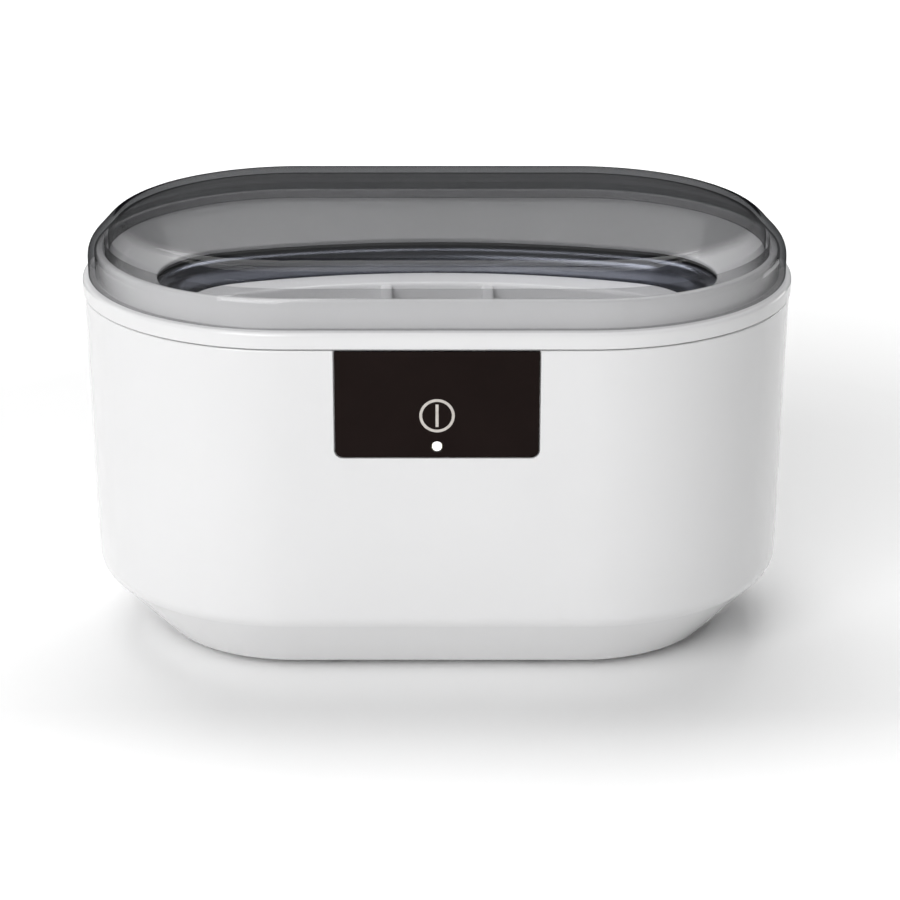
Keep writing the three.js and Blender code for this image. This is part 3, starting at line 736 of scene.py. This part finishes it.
for i, (x, y) in enumerate(corners_of(*BASE_SCREW)):
    screw = pan_screw(f"base_fixing_{i + 1}", 3, 1.6, 1.5, 5.1, at(x, y, BASE_LO.z + 0.1))
    finish_piece(screw, screw_steel, "housing", "screw_steel", f"base_screw_{i + 1}")

# ---- Lid ----


def smoke_lid():
    shoulder, top_r, wall = 119.9, 52.2, 2.0
    skirt_outer, skirt_inner, skirt_low = 55.6, 54.4, 117.4
    rise, run = LID_TOP - shoulder, LID_R - top_r
    slant = wall * math.hypot(rise, run)
    ceiling = LID_TOP - wall

    def under_bevel(r):
        """The height of the wall's inner face under the bevel."""
        return shoulder + ((LID_R - r) * rise - slant) / run

    return smooth(oval_mesh("smoke_lid", [
        casing(LID_R, LID_LO.z, 0.25),
        casing(LID_R, shoulder, 3),
        casing(top_r, LID_TOP, 3.4),
        capped(casing(40, LID_TOP)),
        capped(casing(40, ceiling)),
        casing(LID_R - (run * (ceiling - shoulder) + slant) / rise, ceiling, 3.5),
        casing(skirt_inner, under_bevel(skirt_inner), 0.3),
        casing(skirt_inner, skirt_low, 0.25),
        casing(skirt_outer, skirt_low, 0.25),
        casing(skirt_outer, under_bevel(skirt_outer), 0.3),
        casing(LID_R - wall, under_bevel(LID_R - wall), 0.5),
        casing(LID_R - wall, LID_LO.z, 0.25),
    ]), 30)


finish_piece(smoke_lid(), smoke, "lid", "smoke_clear", "lid")

# ---- Tank, gasket and basket ----


def steel_tank():
    outer = TANK_FLOOR - 1
    return smooth(oval_mesh("steel_tank", [
        capped(opening(-25, outer)),
        opening(-5.2, outer, 9),
        opening(-2.6, TANK_TOP - 1, 3.6),
        opening(TANK_FLANGE, TANK_TOP - 1),
        opening(TANK_FLANGE, TANK_TOP),
        opening(-3.6, TANK_TOP, 4.4),
        opening(-6.2, TANK_FLOOR, 8.4),
        capped(opening(-25, TANK_FLOOR)),
    ]))


def gasket_ring():
    low, high = TANK_TOP + 0.3, SEAT - 0.3
    return smooth(oval_mesh("gasket_ring", [
        opening(0.5, low, 0.2),
        opening(3.2, low, 0.2),
        opening(3.2, high, 0.2),
        opening(0.5, high, 0.2),
    ]))


def basket_moulding():
    wall, side, rim = 1.8, -15.0, -4.6
    floor_top, rim_bottom = BASKET_FLOOR + wall, BASKET_TOP - wall
    basket = oval_mesh("basket_moulding", [
        capped(tray(-22, BASKET_FLOOR)),
        tray(side - 0.8, BASKET_FLOOR, 3),
        tray(side + wall, rim_bottom, 0.6),
        tray(rim, rim_bottom, 0.4),
        tray(rim, BASKET_TOP, 0.7),
        tray(side, BASKET_TOP, 1.2),
        tray(side - 0.8 - wall, floor_top, 2),
        capped(tray(-22, floor_top)),
    ])
    combine(basket, [divider(x) for x in (-DIVIDER_X, DIVIDER_X)], "UNION")
    leg = [(0, 53.3), (2.4, 53.3), (3, 53.9), (3, BASKET_FLOOR + 1), (0, BASKET_FLOOR + 1)]
    combine(basket, [turned("leg", leg, 32, at(x, y)) for x, y in corners_of(*BASKET_LEG)], "UNION")
    slots = []
    for y in (-11, 0, 11):
        ends = [(-52, 14), (52, 14)] if y == 0 else []
        for x, length in [(-30, 16), (0, 16), (30, 16)] + ends:
            outline = rounded(length, SLOT_WIDTH, 2, 2, x, y, 5)
            slots.append(prism("slot", outline, [(59, -0.6), (60.5, 0), (61.3, 0), (62.8, -0.6)]))
    return smooth(combine(basket, slots))


def divider(x):
    """A divider with a rounded top, whose ends stay inside the basket's sloping walls."""
    foot, top, half = BASKET_FLOOR + 1, BASKET_TOP - 0.6, 1.7
    low, high = MOUTH_B - 17.1, MOUTH_B - 14.7
    bm = bmesh.new()
    rings = []
    for z, thin in [(foot, 0), (top - 0.7, 0), (top - 0.35, 0.12), (top - 0.12, 0.36), (top, 0.75)]:
        reach = low + (high - low) * (z - foot) / (top - foot)
        points = rounded(2 * (half - thin), 2 * reach, 0, 0, x, 0)
        rings.append([bm.verts.new((px * MM, py * MM, z * MM)) for px, py in points])
    for lower, upper in zip(rings, rings[1:]):
        bridge(bm, lower, upper)
    bm.faces.new(rings[0])
    bm.faces.new(rings[-1])
    return bake_mesh("divider", bm)


finish_piece(steel_tank(), steel, "housing", "tank_steel", "tank")
finish_piece(gasket_ring(), gasket_rubber, "housing", "black_rubber", "tank_gasket")
finish_piece(basket_moulding(), basket_plastic, "basket", "basket_plastic", "basket")

# ---- Touch window ----


def window_glass():
    outline = rounded(WINDOW_WIDTH, WINDOW_HEIGHT, WINDOW_CORNER, 0.2, 0, -WINDOW_HEIGHT / 2)
    plate = prism("window_glass", outline, [(-1.1, 0), (-0.22, 0), (-0.13, 0.04), (-0.1, 0.14)], FRONT)
    bore = prism("bore", circle(1.6, 40, 0, -LED_DROP), [(-2, 0), (1, 0)], FRONT)
    return smooth(combine(plate, [bore]))


def status_dot():
    profile = [(0, -1.6), (1.3, -1.6), (1.3, -0.22), (1.22, -0.14), (1.0, -0.11), (0, -0.1)]
    return smooth(turned("status_dot", profile, 40, FRONT @ at(0, -LED_DROP)))


def flat_ring(name, outer, inner, low, high, place):
    bm = bmesh.new()
    rings = []
    for radius, height in [(inner, low), (outer, low), (outer, high), (inner, high)]:
        rings.append([bm.verts.new((place @ Vector((x, y, height))) * MM) for x, y in circle(radius, 96)])
    for one, two in zip(rings, rings[1:] + rings[:1]):
        bridge(bm, one, two)
    return bake_mesh(name, bm)


def power_symbol():
    """The printed key symbol: a ring with a bar in it, a thin layer of ink on the window."""
    low, high = -0.1, -0.06
    ring = flat_ring("power_symbol", 4.95, 4.15, low, high, FRONT @ at(0, -KEY_DROP))
    bar = prism("bar", rounded(0.85, 6.7, 0.1, 0.1, 0, -KEY_DROP), [(low, 0), (high, 0)], FRONT)
    mesh = bmesh.new()
    mesh.from_mesh(ring.data)
    mesh.from_mesh(bar.data)
    mesh.to_mesh(ring.data)
    mesh.free()
    bpy.data.objects.remove(bar)
    return smooth(ring)


finish_piece(window_glass(), window_black, "housing", "black_gloss", "panel_window")
finish_piece(status_dot(), dot_glow, "housing", "lens_white", "led_lens")
finish_piece(power_symbol(), print_ink, "housing", "lens_white")

# ---- Mains inlet ----


def inlet_socket():
    face = [(61.35, 0), (61.95, 0), (62.2, 0.3)]
    well = [(49.7, 0), (61.9, 0), (63, -0.6)]
    flange = prism("inlet_socket", rounded(25, 15, 2.2, 2.2, 0, -INLET_Z), face, REAR)
    barrel = prism("barrel", rounded(20, 11.4, 1, 1, 0, -INLET_Z), [(44.2, 0), (61.6, 0)], REAR)
    combine(flange, [barrel], "UNION")
    lobes = [prism("lobe", circle(4.1, 40, x, -INLET_Z), well, REAR) for x in (-PIN_X, PIN_X)]
    web = prism("web", rounded(2 * PIN_X, 6.4, 0, 0, 0, -INLET_Z), well, REAR)
    bores = [prism("bore", circle(1.5, 24, x, -INLET_Z), [(43, 0), (51, 0)], REAR) for x in (-PIN_X, PIN_X)]
    return smooth(combine(flange, [*lobes, web, *bores]))


def inlet_blade(name, x):
    profile = [(0, 41.2), (1.2, 41.2), (1.2, 58.3), (1.08, 58.8), (0.75, 59.1), (0, 59.2)]
    return smooth(turned(name, profile, 32, REAR @ at(x, -INLET_Z)))


finish_piece(inlet_socket(), black_plastic, "housing", "black_plastic", "inlet_body")
for i, x in enumerate((-PIN_X, PIN_X)):
    blade = inlet_blade(f"inlet_blade_{i + 1}", x)
    finish_piece(blade, pin_metal, "housing", "pin_metal", f"inlet_pin_{i + 1}")

# ---- Parts kept from the frame ----

KEPT = {
    circuit_board: ["driver_board", "touch_board"],
    ceramic: ["transducer_disc"],
    copper: ["inductor", "touch_spring"],
    core_dark: ["transformer"],
    sleeve: ["bulk_capacitor"],
    aluminium: ["heatsink"],
    black_plastic: ["power_transistor"],
    fuse_glass: ["fuse"],
    connector_plastic: ["mains_connector", "transducer_connector", "panel_connector"],
    screw_steel: [f"board_screw_{i}" for i in range(1, 5)],
    wire_blue: ["mains_lead_1", "transducer_lead_1"],
    wire_red: ["mains_lead_2", "transducer_lead_2"],
    wire_grey: ["panel_ribbon"],
    lamp: ["status_led"],
}
for finish, names in KEPT.items():
    for name in names:
        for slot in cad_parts[name].material_slots:
            slot.material = finish.material

# ---- Studio ----

WORLD_BACK = 0.12
WORLD_FRONT = 0.56
FLOOR_SIZE = 3.0
FLOOR_LIFT = 0.3  # the floor's extra glow for the camera, where it is strongest
FLOOR_LIFT_LEAST = 0.02
CARD_GLOW = 0.28
CENTRE = (0, 0, 0.06)


def studio_floor():
    """A pale floor. Far away and in front it also glows for the camera, so that it comes out white."""
    bm = bmesh.new()
    steps = 24
    places = [-FLOOR_SIZE + 2 * FLOOR_SIZE * i / steps for i in range(steps + 1)]
    rows = [[bm.verts.new((x, y, 0)) for x in places] for y in places]
    for low, high in zip(rows, rows[1:]):
        for i in range(steps):
            bm.faces.new((low[i], low[i + 1], high[i + 1], high[i]))
    floor = bake_mesh("studio_floor", bm)
    paint = Finish("studio_paint", grey(0.97), 0.9)
    paint.tint(paint.noise(3, 2), grey(0.965), grey(0.975))
    paint.set(Specular_IOR_Level=0.1, Emission_Color=(1, 1, 1, 1))
    away = paint.ramp(paint.length(paint.place), FLOOR_LIFT_LEAST, FLOOR_LIFT, 0.26, 0.5)
    ahead = paint.ramp(paint.split(paint.place)["Y"], FLOOR_LIFT, FLOOR_LIFT_LEAST, -0.15, -0.07)
    seen = paint.add("ShaderNodeLightPath").outputs["Is Camera Ray"]
    glow = paint.calc("MULTIPLY", paint.calc("MAXIMUM", away, ahead), seen)
    paint.link(glow, paint.shader.inputs["Emission Strength"])
    floor.data.materials.append(paint.material)


def dark_card():
    """A dark card behind the object, for reflected and transmitted rays only: it makes the smoke read."""
    bm = bmesh.new()
    low = [bm.verts.new((x, 0.32, 0.005)) for x in (-0.4, 0.4)]
    high = [bm.verts.new((x, 0.32, 0.25)) for x in (-0.4, 0.4)]
    bm.faces.new((low[0], low[1], high[1], high[0]))
    card = bake_mesh("dark_card", bm)
    felt = Finish("felt", grey(0.03), 0.9)
    felt.tint(felt.noise(200, 2), grey(0.025), grey(0.035))
    felt.set(Emission_Color=(0.95, 0.97, 1, 1), Emission_Strength=CARD_GLOW)
    card.data.materials.append(felt.material)
    card.visible_camera = card.visible_diffuse = card.visible_shadow = False


def softbox(name, location, target, width, height, radiance, color=(1, 1, 1)):
    """A rectangular light. Its power is set from the brightness of its face, in scene units."""
    data = bpy.data.lights.new(name, "AREA")
    data.shape = "RECTANGLE"
    data.size, data.size_y = width, height
    data.energy = radiance * math.pi * width * height
    data.color = color
    light = bpy.data.objects.new(name, data)
    light.location = location
    light.rotation_euler = (Vector(target) - Vector(location)).to_track_quat("-Z", "Y").to_euler()
    light.visible_camera = False
    bpy.context.scene.collection.objects.link(light)
    return light


def studio_world():
    """Soft light from the front, left and top, and a darker room behind."""
    world = bpy.data.worlds.new("studio")
    world.use_nodes = True
    bpy.context.scene.world = world
    tree = world.node_tree
    tree.nodes.clear()
    output = tree.nodes.new("ShaderNodeOutputWorld")
    background = tree.nodes.new("ShaderNodeBackground")
    tree.links.new(background.outputs["Background"], output.inputs["Surface"])
    direction = tree.nodes.new("ShaderNodeTexCoord").outputs["Generated"]
    split = tree.nodes.new("ShaderNodeSeparateXYZ")
    tree.links.new(direction, split.inputs["Vector"])

    def slope(source, start, end, low, high):
        node = tree.nodes.new("ShaderNodeMapRange")
        node.interpolation_type = "SMOOTHSTEP"
        for name, value in zip(["From Min", "From Max", "To Min", "To Max"], [start, end, low, high]):
            node.inputs[name].default_value = value
        tree.links.new(split.outputs[source], node.inputs["Value"])
        return node.outputs["Result"]

    def times(one, two):
        node = tree.nodes.new("ShaderNodeMath")
        node.operation = "MULTIPLY"
        tree.links.new(one, node.inputs[0])
        tree.links.new(two, node.inputs[1])
        return node.outputs["Value"]

    front_to_back = slope("Y", -0.3, 0.6, WORLD_FRONT, WORLD_BACK)
    left_to_right = slope("X", -0.6, 0.8, 0.9, 0.3)
    strength = times(front_to_back, left_to_right)
    tree.links.new(strength, background.inputs["Strength"])


studio_floor()
dark_card()
studio_world()
softbox("key", (-0.6, -1.35, 0.95), CENTRE, 1.0, 0.8, 6.3)
softbox("top", (-0.08, 0.75, 1.6), (0, 0.0, 0), 1.5, 1.2, 3.6)
softbox("left_strip", (-0.9, 0.25, 0.25), CENTRE, 0.5, 0.6, 0.8)
softbox("right_strip", (0.75, 0.55, 0.07), CENTRE, 0.5, 0.12, 3.5)
softbox("window", (0.187, 1.996, 0.667), (0.055, 0.03, 0.129), 0.057, 0.014, 4.2, (0.42, 0.48, 1.0))

# ---- Camera ----

CAMERA_AIM = Vector((0, 0, 0.0533))
CAMERA_DISTANCE = 0.8444
CAMERA_ELEVATION = math.radians(20.81)

camera_data = bpy.data.cameras.new("camera")
camera_data.sensor_width = 36
camera_data.lens = 110.98
camera_data.shift_x = 0.0144
camera = bpy.data.objects.new("camera", camera_data)
back = Vector((0, -math.cos(CAMERA_ELEVATION), math.sin(CAMERA_ELEVATION)))
camera.location = CAMERA_AIM + back * CAMERA_DISTANCE
camera.rotation_euler = back.to_track_quat("Z", "Y").to_euler()
bpy.context.scene.collection.objects.link(camera)
bpy.context.scene.camera = camera
bpy.context.scene.view_settings.view_transform = "Standard"
